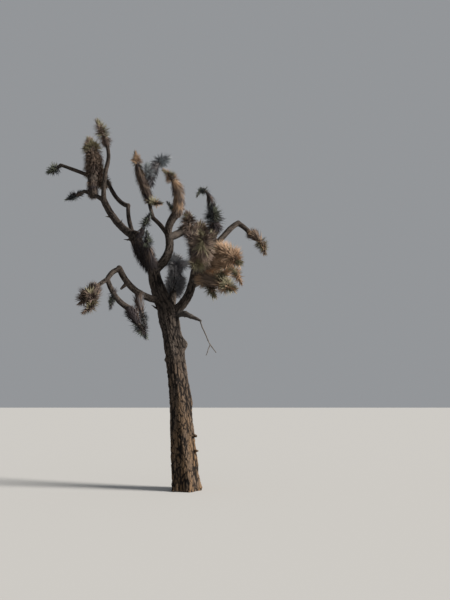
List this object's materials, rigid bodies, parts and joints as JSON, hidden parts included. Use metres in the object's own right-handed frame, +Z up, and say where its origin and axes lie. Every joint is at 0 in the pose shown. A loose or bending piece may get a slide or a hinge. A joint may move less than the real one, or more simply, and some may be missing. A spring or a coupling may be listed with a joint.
{
  "type": "joshua tree",
  "caption": "Joshua tree with a leaning shaggy trunk, crooked forking boughs, heads of bayonet leaves over dead skirts and a bare dead twig.",
  "frame": {"origin": "middle of the flat cut under the trunk, at ground level", "axes": "+Z up; +X to the picture's right, away from the trunk's lean; -Y towards the picture's viewer"},
  "size_m": [5.0932, 3.1697, 7.6342],
  "materials": {
    "bark": "rough furrowed bark",
    "dead_twig": "weathered bare wood",
    "leaf_heads": "stiff dry leaves, olive and grey green at the tips"
  },
  "bodies": {
    "root": {"trunk": "bark", "back_bough": "bark", "back_rise": "bark", "dead_twig_lower": "dead_twig", "dead_twig_upper": "dead_twig", "inner_bough": "bark", "inner_left_lower": "bark", "inner_left_upper": "bark", "inner_right": "bark", "low_left_arch_inner": "bark", "low_left_arch_outer": "bark", "low_left_drop": "bark", "low_left_reach": "bark", "low_left_stub": "bark", "main_bough_lower": "bark", "main_bough_upper": "bark", "right_arch_inner": "bark", "right_arch_mid": "bark", "right_arch_outer": "bark", "right_bough_lower": "bark", "right_bough_upper": "bark", "right_out": "bark", "right_rise": "bark", "thin_bough_lower": "bark", "thin_bough_upper": "bark", "upper_left_arm": "bark", "upper_left_low": "bark", "upper_left_mid": "bark", "upper_left_rise": "bark", "upper_left_top": "bark", "upper_left_west": "bark", "arch_head": "leaf_heads", "bridge_head": "leaf_heads", "crest_head": "leaf_heads", "cross_tuft": "leaf_heads", "crown_back_head": "leaf_heads", "crown_back_low_head": "leaf_heads", "curved_head": "leaf_heads", "dark_crown_head": "leaf_heads", "dark_head": "leaf_heads", "front_head": "leaf_heads", "front_strip_head": "leaf_heads", "hanging_head": "leaf_heads", "hidden_left_head": "leaf_heads", "inner_back_head": "leaf_heads", "long_sheath_head": "leaf_heads", "low_back_head": "leaf_heads", "low_left_head": "leaf_heads", "low_left_tuft": "leaf_heads", "low_left_under_head": "leaf_heads", "low_right_head": "leaf_heads", "orange_head": "leaf_heads", "pale_head": "leaf_heads", "second_hanging_head": "leaf_heads", "side_tuft": "leaf_heads", "small_right_head": "leaf_heads", "tall_left_head": "leaf_heads", "top_head": "leaf_heads", "west_head": "leaf_heads", "west_low_head": "leaf_heads"}
  },
  "joints": []
}
